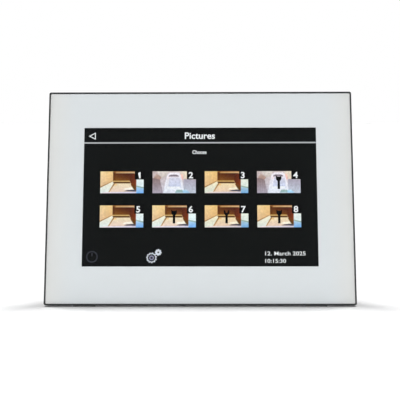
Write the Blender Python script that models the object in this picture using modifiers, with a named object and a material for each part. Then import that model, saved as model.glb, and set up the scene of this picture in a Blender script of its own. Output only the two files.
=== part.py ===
"""Digital photo frame: a white glass touch panel in a slim dark casing, standing on a fold-out leg.

Lengths are in metres. The panel is laid out in its own axes, with X to the right, Y from the
front glass to the back and Z up the panel from its bottom edge, and an empty leans it back.
The origin lies on the table, below the middle of the object.
"""

import math

import bmesh
import bpy
from mathutils import Matrix

# Stance
LEAN = math.radians(15)
LEG_OPENING = math.radians(27)
TABLE_CLEARANCE = 0.0004

# Display and panel outline
ACTIVE_WIDTH = 0.1524
ACTIVE_HEIGHT = 0.09144
BORDER_SIDE = 0.0236
BORDER_TOP = 0.0239
BORDER_BOTTOM = 0.0247
CORNER_RADIUS = 0.0012
EDGE_ROUNDING = 0.0003

# Layers of the panel, from the front
GLASS_INSET = 0.0001
GLASS_THICKNESS = 0.0011
PRINT_THICKNESS = 0.0002
PRINT_INSET = 0.0001
SENSOR_THICKNESS = 0.0005
SENSOR_INSET_SIDE = 0.0035
SENSOR_INSET_END = 0.0015
GASKET_THICKNESS = 0.0005
GASKET_MARGIN = 0.0010
ADHESIVE_THICKNESS = 0.0003
ADHESIVE_WIDTH = 0.0040
CELL_THICKNESS = 0.0012
CELL_INSET_SIDE = 0.0027
CELL_INSET_END = 0.0006
FILM_THICKNESS = 0.0002
GUIDE_THICKNESS = 0.0020
GUIDE_INSET_SIDE = 0.0030
GUIDE_INSET_END = 0.0017
LED_STRIP_INSET = 0.0080

# Casing and rear cover
RIM_WIDTH = 0.0006
CASING_DEPTH = 0.0043
CASING_WALL = 0.0018
EDGE_SLOPE = math.radians(29)
EDGE_SLOPE_DEPTH = 0.0018
LEDGE_THICKNESS = 0.0014
FLANGE_THICKNESS = 0.0017
SHELL_WALL = 0.0018
REAR_GAP = 0.0008
HUMP_MARGIN = 0.0125
HUMP_DRAFT = math.radians(9.5)
HUMP_CORNER = 0.0060
HUMP_EDGE = 0.0018
BOSS_RADIUS = 0.0026
VENT_SIZE = (0.0016, 0.0090)
VENT_PITCH = 0.0042
VENT_COUNT = 15
VENT_DROP = 0.0100

# Display tray
TRAY_MARGIN_SIDE = 0.0063
TRAY_MARGIN_END = 0.0043
TRAY_WALL = 0.0010
TRAY_FLOOR = 0.0005
TRAY_OPENING_CLEARANCE = 0.0008
POST_RADIUS = 0.0020
POST_HEIGHT = 0.0020
POST_INSET = 0.0040

# Ribbon cables
FLEX_CLEARANCE = 0.0080
LCD_FLEX_WIDTH = 0.0170
TOUCH_FLEX_WIDTH = 0.0160
FLEX_SPACING = 0.0040
FLEX_DROP = 0.0018
FLEX_BEND = 0.0008
FLEX_WINDOW = 0.0022
FLEX_LAP = 0.0012
FLEX_RISE = 0.0090

# Main board and what it carries
BOARD_WIDTH = 0.0540
BOARD_HEIGHT = 0.0740
BOARD_THICKNESS = 0.0012
BOARD_EDGE_GAP = 0.0045
BOARD_TOP_GAP = 0.0060
PORT_RECESS = 0.0010
JACK_DROP = 0.0620
USB_DROP = 0.0495
CARD_SLOT_DROP = 0.0305
BUTTON_DROP = 0.0118
JACK_SIZE = (0.0110, 0.0050, 0.0068)
JACK_BORE = 0.0018
JACK_BORE_DEPTH = 0.0081
JACK_PIN_RADIUS = 0.0006
JACK_PIN_RECESS = 0.0007
USB_SIZE = (0.0080, 0.0032, 0.0090)
USB_CORNER = 0.0006
USB_WALL = 0.0003
USB_DEPTH = 0.0058
USB_TONGUE = (0.0007, 0.0066)
TONGUE_RECESS = 0.0008
CARD_SLOT_SIZE = (0.0270, 0.0031, 0.0264)
CARD_SLOT_WALL = 0.0004
CARD_SLOT_DEPTH = 0.0240
SWITCH_SIZE = (0.0050, 0.0034, 0.0060)
SWITCH_PLUNGER = 0.0010
PLUNGER_RADIUS = 0.0011
BUTTON_WIDTH = 0.0032
BUTTON_HEIGHT = 0.0070
BUTTON_COLLAR = 0.0010
BUTTON_COLLAR_DEPTH = 0.0012
BUTTON_PROUD = 0.0007
BUTTON_TRAVEL = 0.0005
PROCESSOR_PLACE = (0.0150, 0.0520)
PROCESSOR_SIZE = (0.0140, 0.0012, 0.0140)
MEMORY_PLACE = (0.0150, 0.0330)
MEMORY_SIZE = (0.0120, 0.0010, 0.0090)
WIFI_PLACE = (0.0180, 0.0140)
WIFI_SIZE = (0.0150, 0.0020, 0.0120)
BATTERY_PLACE = (0.0310, 0.0580)
BATTERY_RADIUS = 0.00625
BATTERY_THICKNESS = 0.0020
HOLDER_WALL = 0.0010
HOLDER_FLOOR = 0.0006
HOLDER_HEIGHT = 0.0030

# Speakers and aerial
SPEAKER_SIZE = (0.0300, 0.0044, 0.0160)
SPEAKER_CORNER = 0.0025
SPEAKER_INSET = (0.0240, 0.0130)
CONE_RADIUS = 0.0068
CONE_DEPTH = 0.0012
SPEAKER_SLOT = (0.0150, 0.0014)
SPEAKER_SLOT_PITCH = 0.0028
SPEAKER_SLOT_COUNT = 5
ANTENNA_SIZE = (0.0360, 0.0004, 0.0080)
ANTENNA_INSET = (0.0140, 0.0080)
CABLE_RADIUS = 0.0006
CABLE_RISE = 0.0014

# Leg and hinge
HINGE_HEIGHT = 0.0840
HINGE_STANDOFF = 0.0038
BARREL_RADIUS = 0.0032
LEG_THICKNESS = 0.0045
LEG_EDGE = 0.0006
LEG_TOP_WIDTH = 0.0360
LEG_BOTTOM_WIDTH = 0.0440
LEG_FOOT_HEIGHT = 0.0050
LEG_FOOT_LAP = 0.0007
LEG_PANEL_INSET = 0.0055
LEG_PANEL_DEPTH = 0.0010
LEG_PANEL_CORNER = 0.0020
LEG_PANEL_TOP = 0.0050
LEG_PANEL_BOTTOM = 0.0140
PIN_RADIUS = 0.0011
PIN_LENGTH = 0.0100
PIN_END_WALL = 0.0020
WASHER_RADIUS = 0.0028
WASHER_THICKNESS = 0.0008
BLOCK_SIZE = (0.0080, 0.0072, 0.0150)
BLOCK_RISE = 0.0050
BLOCK_EDGE = 0.0010
BLOCK_SCREW_DROP = 0.0055
BLOCK_DRILL = 0.0050

# Fasteners and feet
SCREW_HEAD_RADIUS = 0.0019
SCREW_HEAD_HEIGHT = 0.0009
SCREW_SHANK_RADIUS = 0.0008
FOOT_LENGTH = 0.0140
FOOT_FRONT = 0.0008
FOOT_DEPTH = 0.0016
FOOT_SPACING = 0.1480

# Clearances
FIT = 0.0003
LAYER_GAP = 0.0002
CUT = 0.0010

# Sizes that follow from those above
FRAME_WIDTH = ACTIVE_WIDTH + 2 * BORDER_SIDE
FRAME_HEIGHT = BORDER_BOTTOM + ACTIVE_HEIGHT + BORDER_TOP
MIDDLE = FRAME_HEIGHT / 2
DISPLAY_MIDDLE = BORDER_BOTTOM + ACTIVE_HEIGHT / 2
LIFT = (CASING_DEPTH - EDGE_SLOPE_DEPTH) * math.sin(LEAN) + TABLE_CLEARANCE

GLASS_BACK = GLASS_INSET + GLASS_THICKNESS
PRINT_FRONT = GLASS_BACK + LAYER_GAP
PRINT_BACK = PRINT_FRONT + PRINT_THICKNESS
SENSOR_FRONT = PRINT_BACK + LAYER_GAP
SENSOR_BACK = SENSOR_FRONT + SENSOR_THICKNESS
GASKET_FRONT = SENSOR_BACK + LAYER_GAP
TRAY_FRONT = GASKET_FRONT + GASKET_THICKNESS + LAYER_GAP
CELL_FRONT = TRAY_FRONT
DIFFUSER_FRONT = CELL_FRONT + CELL_THICKNESS + LAYER_GAP
GUIDE_FRONT = DIFFUSER_FRONT + FILM_THICKNESS + LAYER_GAP
REFLECTOR_FRONT = GUIDE_FRONT + GUIDE_THICKNESS + LAYER_GAP
TRAY_INNER_BACK = REFLECTOR_FRONT + FILM_THICKNESS + LAYER_GAP
TRAY_BACK = TRAY_INNER_BACK + TRAY_FLOOR
LEDGE_FRONT = PRINT_BACK + ADHESIVE_THICKNESS + 2 * LAYER_GAP
LEDGE_BACK = LEDGE_FRONT + LEDGE_THICKNESS
FLANGE_FRONT = CASING_DEPTH + FIT
EDGE_DEPTH = FLANGE_FRONT + FLANGE_THICKNESS
COVER_SET_IN = (EDGE_DEPTH - CASING_DEPTH + EDGE_SLOPE_DEPTH) * math.tan(LEAN) + FIT / 2

TRAY_WIDTH = ACTIVE_WIDTH + 2 * TRAY_MARGIN_SIDE
TRAY_HEIGHT = ACTIVE_HEIGHT + 2 * TRAY_MARGIN_END
BOARD_FRONT = TRAY_BACK + POST_HEIGHT + LAYER_GAP
BOARD_BACK = BOARD_FRONT + BOARD_THICKNESS
PARTS_FRONT = BOARD_BACK + LAYER_GAP
INNER_BACK = PARTS_FRONT + JACK_SIZE[1] + REAR_GAP
REAR_DEPTH = INNER_BACK + SHELL_WALL

HUMP_HALF_WIDTH = FRAME_WIDTH / 2 - HUMP_MARGIN
HUMP_HALF_HEIGHT = FRAME_HEIGHT / 2 - HUMP_MARGIN
BOARD_RIGHT = HUMP_HALF_WIDTH - SHELL_WALL - BOARD_EDGE_GAP
BOARD_LEFT = BOARD_RIGHT - BOARD_WIDTH
BOARD_TOP = FRAME_HEIGHT - HUMP_MARGIN - SHELL_WALL - BOARD_TOP_GAP
BOARD_BOTTOM = BOARD_TOP - BOARD_HEIGHT

HINGE_DEPTH = REAR_DEPTH + HINGE_STANDOFF
HINGE_RISE = LIFT + HINGE_HEIGHT * math.cos(LEAN) - HINGE_DEPTH * math.sin(LEAN)
LEG_LEAN = LEG_OPENING - LEAN
LEG_REACH = HINGE_RISE / math.cos(LEG_LEAN)
LEG_HEEL = (HINGE_STANDOFF - FIT - LEG_THICKNESS / 2 * math.cos(LEG_OPENING)) / math.sin(LEG_OPENING)
BLOCK_INNER = LEG_TOP_WIDTH / 2 + WASHER_THICKNESS + 2 * FIT
PIN_OUTER = BLOCK_INNER + BLOCK_SIZE[0] - PIN_END_WALL
OBJECT_DEPTH = (
    HINGE_DEPTH * math.cos(LEAN)
    + HINGE_HEIGHT * math.sin(LEAN)
    + HINGE_RISE * math.tan(LEG_LEAN)
    + (LEG_THICKNESS / 2 + LEG_FOOT_LAP) / math.cos(LEG_LEAN)
)


def clear_scene():
    for old in list(bpy.data.objects):
        bpy.data.objects.remove(old, do_unlink=True)


def collection(name):
    made = bpy.data.collections.new(name)
    bpy.context.scene.collection.children.link(made)
    return made


def material(name, colour, roughness, metallic=0.0):
    made = bpy.data.materials.new(name)
    made.use_nodes = True
    shader = made.node_tree.nodes["Principled BSDF"]
    shader.inputs["Base Color"].default_value = (*colour, 1.0)
    shader.inputs["Roughness"].default_value = roughness
    shader.inputs["Metallic"].default_value = metallic
    return made


def empty(name, parent, location, turn):
    made = bpy.data.objects.new(name, None)
    parts.objects.link(made)
    made.parent = parent
    made.location = location
    made.rotation_euler = (turn, 0, 0)
    return made


def add_object(name, mesh, finish, location, parent):
    """A piece of the frame, or a cutter where finish is None."""
    made = bpy.data.objects.new(name, mesh)
    made.parent = parent
    made.location = location
    if finish is None:
        cutters.objects.link(made)
        made.hide_render = True
        made.display_type = "WIRE"
    else:
        parts.objects.link(made)
        mesh.materials.append(finish)
    return made


def block(name, x, y, z, finish=None, corner=0.0, parent=None):
    """A box between pairs of bounds, with its four edges along Y rounded."""
    bounds = (x, y, z)
    size = [high - low for low, high in bounds]
    centre = [(low + high) / 2 for low, high in bounds]
    shape = bmesh.new()
    bmesh.ops.create_cube(shape, size=1)
    bmesh.ops.scale(shape, vec=size, verts=shape.verts)
    if corner:
        round_corners(shape, corner)
    return finish_mesh(name, shape, finish, centre, parent or panel)


def round_corners(shape, radius):
    """Round the edges of a box or hull that run from its front to its back."""
    upright = [e for e in shape.edges if abs(e.verts[0].co.y - e.verts[1].co.y) > FIT / 2]
    bmesh.ops.bevel(
        shape, geom=upright, offset=radius, offset_type="OFFSET",
        segments=5, profile=0.5, affect="EDGES", material=-1,
    )


def finish_mesh(name, shape, finish, location, parent):
    mesh = bpy.data.meshes.new(name)
    shape.to_mesh(mesh)
    shape.free()
    return add_object(name, mesh, finish, location, parent)


def cylinder(name, axis, centre, radius, length, finish=None, sides=24, parent=None):
    """A cylinder centred on a point, with its axis along X or Y."""
    turns = {
        "X": Matrix.Rotation(math.radians(90), 3, "Y"),
        "Y": Matrix.Rotation(math.radians(-90), 3, "X"),
    }
    shape = bmesh.new()
    bmesh.ops.create_cone(
        shape, cap_ends=True, segments=sides, radius1=radius, radius2=radius, depth=length,
    )
    bmesh.ops.rotate(shape, cent=(0, 0, 0), matrix=turns[axis], verts=shape.verts)
    made = finish_mesh(name, shape, finish, centre, parent or panel)
    if finish is not None:
        smooth(made)
    return made


def smooth(piece):
    piece.data.shade_smooth()
    piece.data.set_sharp_from_angle(angle=math.radians(35))


def combine(piece, other, operation="DIFFERENCE"):
    modifier = piece.modifiers.new(other.name, "BOOLEAN")
    modifier.operation = operation
    modifier.solver = "EXACT"
    modifier.object = other


def soften(piece, width, segments=1):
    modifier = piece.modifiers.new("Edges", "BEVEL")
    modifier.width = width
    modifier.segments = segments
    modifier.limit_method = "ANGLE"
    modifier.angle_limit = math.radians(40)


def around(half_width, half_height, middle):
    """Bounds along X and Z of a rectangle about the middle of the panel or of the display."""
    return (-half_width, half_width), (middle - half_height, middle + half_height)


def ring(name, outer, inner, y, finish, corner=0.0):
    """A flat ring between two rectangles, each given by its bounds along X and Z."""
    made = block(name, outer[0], y, outer[1], finish, corner)
    combine(made, block("cut_" + name, inner[0], (y[0] - CUT, y[1] + CUT), inner[1]))
    return made


def side_outline(name, points, width, finish, parent):
    """A prism whose outline, in Y and Z, is drawn as a flat curve and runs along X."""
    drawing = bpy.data.curves.new(name, "CURVE")
    drawing.dimensions = "2D"
    drawing.fill_mode = "BOTH"
    drawing.extrude = width / 2
    line = drawing.splines.new("POLY")
    line.points.add(len(points) - 1)
    for corner, (y, z) in zip(line.points, points):
        corner.co = (y, z, 0, 1)
    line.use_cyclic_u = True
    made = add_object(name, drawing, finish, (0, 0, 0), parent)
    made.rotation_euler = (math.radians(90), 0, math.radians(90))
    return made


def hump_half(half, depth, inset):
    """Half width or height of the rear housing at a depth, with its drafted sides."""
    return half - (depth - EDGE_DEPTH) * math.tan(HUMP_DRAFT) - inset


def hump_hull(name, front, back, inset):
    """The drafted body of the rear housing, or its hollow where inset is the wall."""
    shape = bmesh.new()
    bmesh.ops.create_cube(shape, size=2)
    for vert in shape.verts:
        depth = back if vert.co.y > 0 else front
        vert.co.x *= hump_half(HUMP_HALF_WIDTH, depth, inset)
        vert.co.z *= hump_half(HUMP_HALF_HEIGHT, depth, inset)
        vert.co.y = depth
    round_corners(shape, HUMP_CORNER - inset)
    return finish_mesh(name, shape, None, (0, 0, MIDDLE), panel)


def screw(name, location, length, finish, towards_front=True):
    """A pan-head screw along Y, with its origin on the face that the head bears on."""
    shape = bmesh.new()
    bmesh.ops.create_cone(
        shape, cap_ends=True, segments=16,
        radius1=SCREW_HEAD_RADIUS, radius2=SCREW_HEAD_RADIUS, depth=SCREW_HEAD_HEIGHT,
    )
    bmesh.ops.translate(shape, vec=(0, 0, SCREW_HEAD_HEIGHT / 2), verts=shape.verts)
    under = [f for f in shape.faces if f.normal.z < -0.9]
    bmesh.ops.inset_region(shape, faces=under, thickness=SCREW_HEAD_RADIUS - SCREW_SHANK_RADIUS)
    grown = bmesh.ops.extrude_face_region(shape, geom=under)
    tip = [v for v in grown["geom"] if isinstance(v, bmesh.types.BMVert)]
    bmesh.ops.translate(shape, vec=(0, 0, -length), verts=tip)
    bmesh.ops.delete(shape, geom=under, context="FACES_ONLY")
    turn = math.radians(-90 if towards_front else 90)
    bmesh.ops.rotate(shape, cent=(0, 0, 0), matrix=Matrix.Rotation(turn, 3, "X"), verts=shape.verts)
    made = finish_mesh(name, shape, finish, location, panel)
    smooth(made)
    return made


def make_glass(finishes):
    half_width = FRAME_WIDTH / 2 - RIM_WIDTH - LAYER_GAP
    half_height = FRAME_HEIGHT / 2 - RIM_WIDTH - LAYER_GAP
    corner = CORNER_RADIUS - RIM_WIDTH
    x, z = around(half_width, half_height, MIDDLE)
    glass = block("cover_glass", x, (GLASS_INSET, GLASS_BACK), z, finishes["glass"], corner)
    soften(glass, EDGE_ROUNDING)
    edge = around(half_width - PRINT_INSET, half_height - PRINT_INSET, MIDDLE)
    window = around(ACTIVE_WIDTH / 2, ACTIVE_HEIGHT / 2, DISPLAY_MIDDLE)
    ring("border_print", edge, window, (PRINT_FRONT, PRINT_BACK), finishes["white"], corner)
    adhesive_front = PRINT_BACK + LAYER_GAP
    taped = PRINT_INSET + ADHESIVE_WIDTH
    ring(
        "glass_adhesive", edge, around(half_width - taped, half_height - taped, MIDDLE),
        (adhesive_front, adhesive_front + ADHESIVE_THICKNESS), finishes["foam"], corner,
    )
    x, z = around(
        TRAY_WIDTH / 2 - SENSOR_INSET_SIDE, TRAY_HEIGHT / 2 - SENSOR_INSET_END, DISPLAY_MIDDLE,
    )
    block("touch_sensor", x, (SENSOR_FRONT, SENSOR_BACK), z, finishes["film"])
    ring(
        "lcd_gasket", around(TRAY_WIDTH / 2 - GASKET_MARGIN, TRAY_HEIGHT / 2 - GASKET_MARGIN, DISPLAY_MIDDLE),
        around(ACTIVE_WIDTH / 2 + GASKET_MARGIN, ACTIVE_HEIGHT / 2 + GASKET_MARGIN, DISPLAY_MIDDLE),
        (GASKET_FRONT, GASKET_FRONT + GASKET_THICKNESS), finishes["foam"],
    )


def make_display(finishes):
    inner_width = TRAY_WIDTH / 2 - TRAY_WALL
    inner_height = TRAY_HEIGHT / 2 - TRAY_WALL
    x, z = around(TRAY_WIDTH / 2, TRAY_HEIGHT / 2, DISPLAY_MIDDLE)
    tray = block("display_tray", x, (TRAY_FRONT, TRAY_BACK), z, finishes["steel"])
    x, z = around(inner_width, inner_height, DISPLAY_MIDDLE)
    combine(tray, block("cut_tray", x, (TRAY_FRONT - CUT, TRAY_INNER_BACK), z))
    flex_x = flex_bounds()["lcd_flex"]
    combine(tray, block(
        "cut_tray_flex", (flex_x[0] - CUT, flex_x[1] + CUT),
        (TRAY_FRONT - CUT, CELL_FRONT + CELL_THICKNESS),
        (z[0] - TRAY_WALL - CUT, z[0] + CUT),
    ))
    for number, (post_x, post_z) in enumerate(board_corners(), start=1):
        centre = (post_x, (TRAY_INNER_BACK + FIT + BOARD_FRONT - LAYER_GAP) / 2, post_z)
        length = BOARD_FRONT - LAYER_GAP - TRAY_INNER_BACK - FIT
        combine(tray, cylinder(f"post_{number}", "Y", centre, POST_RADIUS, length, sides=16), "UNION")
        drill_back = BOARD_FRONT + CUT
        drill_front = TRAY_BACK + FIT
        combine(tray, cylinder(
            f"cut_post_{number}", "Y", (post_x, (drill_front + drill_back) / 2, post_z),
            SCREW_SHANK_RADIUS + FIT, drill_back - drill_front, sides=12,
        ))
    x, z = around(inner_width - CELL_INSET_SIDE, inner_height - CELL_INSET_END, DISPLAY_MIDDLE)
    block("lcd_cell", x, (CELL_FRONT, CELL_FRONT + CELL_THICKNESS), z, finishes["dark_glass"])
    guide_x, guide_z = around(
        inner_width - GUIDE_INSET_SIDE, inner_height - GUIDE_INSET_END, DISPLAY_MIDDLE,
    )
    layers = (
        ("diffuser_film", DIFFUSER_FRONT, FILM_THICKNESS, "film"),
        ("light_guide", GUIDE_FRONT, GUIDE_THICKNESS, "clear"),
        ("reflector_film", REFLECTOR_FRONT, FILM_THICKNESS, "white"),
    )
    for name, front, thickness, finish in layers:
        block(name, guide_x, (front, front + thickness), guide_z, finishes[finish])
    block(
        "led_strip", (guide_x[0] + LED_STRIP_INSET, guide_x[1] - LED_STRIP_INSET),
        (GUIDE_FRONT, GUIDE_FRONT + GUIDE_THICKNESS),
        (DISPLAY_MIDDLE - inner_height + FIT, guide_z[0] - FIT), finishes["board"],
    )


def board_corners():
    return [
        (x, z)
        for z in (BOARD_BOTTOM + POST_INSET, BOARD_TOP - POST_INSET)
        for x in (BOARD_LEFT + POST_INSET, BOARD_RIGHT - POST_INSET)
    ]


def flex_bounds():
    """Where the two ribbon cables run along X, clear of the board's lower posts."""
    first = BOARD_LEFT + FLEX_CLEARANCE
    second = first + LCD_FLEX_WIDTH + FLEX_SPACING
    return {
        "lcd_flex": (first, first + LCD_FLEX_WIDTH),
        "touch_flex": (second, second + TOUCH_FLEX_WIDTH),
    }


def make_flex(name, layer_middle, finish):
    """A ribbon cable that leaves a layer, rounds the display tray and ends under the board."""
    tray_bottom = DISPLAY_MIDDLE - TRAY_HEIGHT / 2
    low = tray_bottom - FLEX_DROP
    behind = (TRAY_BACK + BOARD_FRONT) / 2
    route = [
        (layer_middle, tray_bottom + FLEX_LAP),
        (layer_middle, low + FLEX_BEND),
        (layer_middle + FLEX_BEND, low),
        (behind - FLEX_BEND, low),
        (behind, low + FLEX_BEND),
        (behind, BOARD_BOTTOM + FLEX_RISE),
    ]
    left, right = flex_bounds()[name]
    shape = bmesh.new()
    ends = [shape.verts.new((left, y, z)) for y, z in route]
    edges = [shape.edges.new(pair) for pair in zip(ends, ends[1:])]
    wide = bmesh.ops.extrude_edge_only(shape, edges=edges)
    far = [v for v in wide["geom"] if isinstance(v, bmesh.types.BMVert)]
    bmesh.ops.translate(shape, vec=(right - left, 0, 0), verts=far)
    ribbon = finish_mesh(name, shape, finish, (0, 0, 0), panel)
    wall = ribbon.modifiers.new("Thickness", "SOLIDIFY")
    wall.thickness = FILM_THICKNESS
    wall.offset = 0
    return ribbon


def cover_screw_places():
    across = FRAME_WIDTH / 2 - HUMP_MARGIN / 2
    top = FRAME_HEIGHT - HUMP_MARGIN / 2
    return [(x, z) for z in (HUMP_MARGIN / 2, top) for x in (-across, 0, across)]


def casing_body():
    """A flat box whose sides slope inwards towards the back, so that they clear the table."""
    shape = bmesh.new()
    bmesh.ops.create_cube(shape, size=1)
    bmesh.ops.scale(shape, vec=(FRAME_WIDTH, CASING_DEPTH, FRAME_HEIGHT), verts=shape.verts)
    bmesh.ops.translate(shape, vec=(0, CASING_DEPTH / 2, 0), verts=shape.verts)
    round_corners(shape, CORNER_RADIUS)
    everything = shape.verts[:] + shape.edges[:] + shape.faces[:]
    bend = (0, CASING_DEPTH - EDGE_SLOPE_DEPTH, 0)
    bmesh.ops.bisect_plane(shape, geom=everything, plane_co=bend, plane_no=(0, 1, 0))
    set_in = EDGE_SLOPE_DEPTH * math.tan(EDGE_SLOPE)
    for vert in shape.verts:
        if vert.co.y > CASING_DEPTH - EDGE_SLOPE_DEPTH / 2:
            vert.co.x -= math.copysign(set_in, vert.co.x)
            vert.co.z -= math.copysign(set_in, vert.co.z)
    return shape


def make_casing(finishes):
    """The frame round the glass: a rim, a ledge that carries the glass, and bosses behind it."""
    casing = finish_mesh("casing_frame", casing_body(), finishes["dark"], (0, 0, MIDDLE), panel)
    soften(casing, EDGE_ROUNDING, 2)
    x, z = around(FRAME_WIDTH / 2 - RIM_WIDTH, FRAME_HEIGHT / 2 - RIM_WIDTH, MIDDLE)
    seat = block("cut_glass_seat", x, (-CUT, LEDGE_FRONT), z, corner=CORNER_RADIUS - RIM_WIDTH)
    combine(casing, seat)
    opening = (TRAY_WIDTH / 2 + TRAY_OPENING_CLEARANCE, TRAY_HEIGHT / 2 + TRAY_OPENING_CLEARANCE)
    x, z = around(*opening, DISPLAY_MIDDLE)
    combine(casing, block("cut_display_opening", x, (0, CASING_DEPTH + CUT), z))
    flex = flex_bounds()
    combine(casing, block(
        "cut_flex_window", (flex["lcd_flex"][0] - CUT, flex["touch_flex"][1] + CUT),
        (0, LEDGE_BACK + CUT), (z[0] - FLEX_WINDOW, z[0] + CUT),
    ))
    x, z = around(FRAME_WIDTH / 2 - CASING_WALL, FRAME_HEIGHT / 2 - CASING_WALL, MIDDLE)
    pocket = block("cut_rear_pocket", x, (LEDGE_BACK, CASING_DEPTH + CUT), z)
    for number, (boss_x, boss_z) in enumerate(cover_screw_places(), start=1):
        centre = (boss_x, (LEDGE_BACK + CASING_DEPTH) / 2, boss_z)
        height = CASING_DEPTH - LEDGE_BACK + 3 * CUT
        boss = cylinder(f"cut_boss_{number}", "Y", centre, BOSS_RADIUS, height)
        combine(pocket, boss)
        drill = (LEDGE_FRONT + FIT, CASING_DEPTH + CUT)
        combine(casing, cylinder(
            f"cut_boss_hole_{number}", "Y", (boss_x, sum(drill) / 2, boss_z),
            SCREW_SHANK_RADIUS + FIT, drill[1] - drill[0], sides=12,
        ))
    combine(casing, pocket)


def many_blocks(name, bounds):
    """Several boxes in one cutter."""
    shape = bmesh.new()
    for box in bounds:
        made = bmesh.ops.create_cube(shape, size=1)["verts"]
        size = [high - low for low, high in box]
        bmesh.ops.scale(shape, vec=size, verts=made)
        bmesh.ops.translate(shape, vec=[(low + high) / 2 for low, high in box], verts=made)
    return finish_mesh(name, shape, None, (0, 0, 0), panel)


def vent_slots():
    width, height = VENT_SIZE
    top = FRAME_HEIGHT - HUMP_MARGIN - VENT_DROP
    through = (INNER_BACK - CUT, REAR_DEPTH + CUT)
    slots = []
    for number in range(VENT_COUNT):
        x = (number - (VENT_COUNT - 1) / 2) * VENT_PITCH
        slots.append(((x - width / 2, x + width / 2), through, (top - height, top)))
    return slots


def speaker_slots():
    length, height = SPEAKER_SLOT
    through = (INNER_BACK - CUT, REAR_DEPTH + CUT)
    slots = []
    for x, z in speaker_places().values():
        for number in range(SPEAKER_SLOT_COUNT):
            low = z + (number - (SPEAKER_SLOT_COUNT - 1) / 2) * SPEAKER_SLOT_PITCH - height / 2
            slots.append(((x - length / 2, x + length / 2), through, (low, low + height)))
    return slots


def speaker_places():
    x = HUMP_HALF_WIDTH - SPEAKER_INSET[0]
    z = HUMP_MARGIN + SPEAKER_INSET[1]
    return {"speaker_left": (-x, z), "speaker_right": (x, z)}


def port_places():
    """Heights of the pieces that show in the right-hand side of the rear housing."""
    return {
        "power_jack": BOARD_TOP - JACK_DROP,
        "usb_port": BOARD_TOP - USB_DROP,
        "card_slot": BOARD_TOP - CARD_SLOT_DROP,
        "power_button": BOARD_TOP - BUTTON_DROP,
    }


def port_front():
    """How far out a port's mouth comes, just inside the outer face of the housing."""
    return hump_half(HUMP_HALF_WIDTH, REAR_DEPTH - HUMP_EDGE, 0) - PORT_RECESS


def port_hole(name, size):
    """A hole through the side of the housing, with clearance round what passes through it."""
    height = port_places()[name]
    depth = (PARTS_FRONT - FIT, PARTS_FRONT + size[1] + FIT)
    wide = (height - size[2] / 2 - FIT, height + size[2] / 2 + FIT)
    across = (BOARD_RIGHT, HUMP_HALF_WIDTH + CUT)
    return block("cut_hole_" + name, across, depth, wide)


def make_rear_cover(finishes):
    """The rear housing. Its flange is set in, so that the casing's edge is what nears the table."""
    x, z = around(FRAME_WIDTH / 2 - COVER_SET_IN, FRAME_HEIGHT / 2 - COVER_SET_IN, MIDDLE)
    cover = block("rear_cover", x, (FLANGE_FRONT, EDGE_DEPTH), z, finishes["dark"], CORNER_RADIUS)
    soften(cover, EDGE_ROUNDING, 2)
    hump = hump_hull("rear_hump", FLANGE_FRONT + FIT, REAR_DEPTH, 0)
    soften(hump, HUMP_EDGE, 3)
    combine(cover, hump, "UNION")
    combine(cover, hump_hull("cut_hollow", FLANGE_FRONT - CUT, INNER_BACK, SHELL_WALL))
    combine(cover, many_blocks("cut_vents", vent_slots() + speaker_slots()))
    combine(cover, port_hole("power_jack", JACK_SIZE))
    combine(cover, port_hole("usb_port", USB_SIZE))
    combine(cover, port_hole("card_slot", CARD_SLOT_SIZE))
    combine(cover, port_hole("power_button", (0, BUTTON_WIDTH, BUTTON_HEIGHT)))
    well_front = EDGE_DEPTH - SCREW_HEAD_HEIGHT - FIT / 2
    for number, (screw_x, screw_z) in enumerate(cover_screw_places(), start=1):
        well = (well_front, EDGE_DEPTH + CUT)
        hole = (FLANGE_FRONT - CUT, EDGE_DEPTH)
        combine(cover, cylinder(
            f"cut_well_{number}", "Y", (screw_x, sum(well) / 2, screw_z),
            SCREW_HEAD_RADIUS + FIT, well[1] - well[0],
        ))
        combine(cover, cylinder(
            f"cut_screw_hole_{number}", "Y", (screw_x, sum(hole) / 2, screw_z),
            SCREW_SHANK_RADIUS + FIT, hole[1] - hole[0], sides=12,
        ))
        seat = (screw_x, well_front + FIT, screw_z)
        screw(f"cover_screw_{number}", seat, well_front - LEDGE_FRONT - 3 * FIT, finishes["screw"])
    for name, block_x in hinge_block_places().items():
        centre = (block_x, REAR_DEPTH - SHELL_WALL / 2, HINGE_HEIGHT - BLOCK_SCREW_DROP)
        combine(cover, cylinder(
            f"cut_{name}_hole", "Y", centre, SCREW_SHANK_RADIUS + FIT, SHELL_WALL + CUT, sides=12,
        ))


def make_board(finishes):
    board = block(
        "main_board", (BOARD_LEFT, BOARD_RIGHT), (BOARD_FRONT, BOARD_BACK),
        (BOARD_BOTTOM, BOARD_TOP), finishes["board"],
    )
    for number, (x, z) in enumerate(board_corners(), start=1):
        combine(board, cylinder(
            f"cut_board_hole_{number}", "Y", (x, (BOARD_FRONT + BOARD_BACK) / 2, z),
            SCREW_SHANK_RADIUS + FIT, BOARD_THICKNESS + CUT, sides=12,
        ))
        length = BOARD_BACK + FIT - TRAY_BACK - 2 * FIT
        screw(f"board_screw_{number}", (x, BOARD_BACK + FIT, z), length, finishes["screw"])
    chips = (
        ("processor_chip", PROCESSOR_PLACE, PROCESSOR_SIZE, "chip"),
        ("memory_chip", MEMORY_PLACE, MEMORY_SIZE, "chip"),
        ("wifi_module", WIFI_PLACE, WIFI_SIZE, "steel"),
    )
    for name, (x, drop), (width, thick, height), finish in chips:
        centre_x, centre_z = BOARD_LEFT + x, BOARD_TOP - drop
        block(
            name, (centre_x - width / 2, centre_x + width / 2), (PARTS_FRONT, PARTS_FRONT + thick),
            (centre_z - height / 2, centre_z + height / 2), finishes[finish],
        )
    make_clock_battery(finishes, BOARD_LEFT + BATTERY_PLACE[0], BOARD_TOP - BATTERY_PLACE[1])


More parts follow.
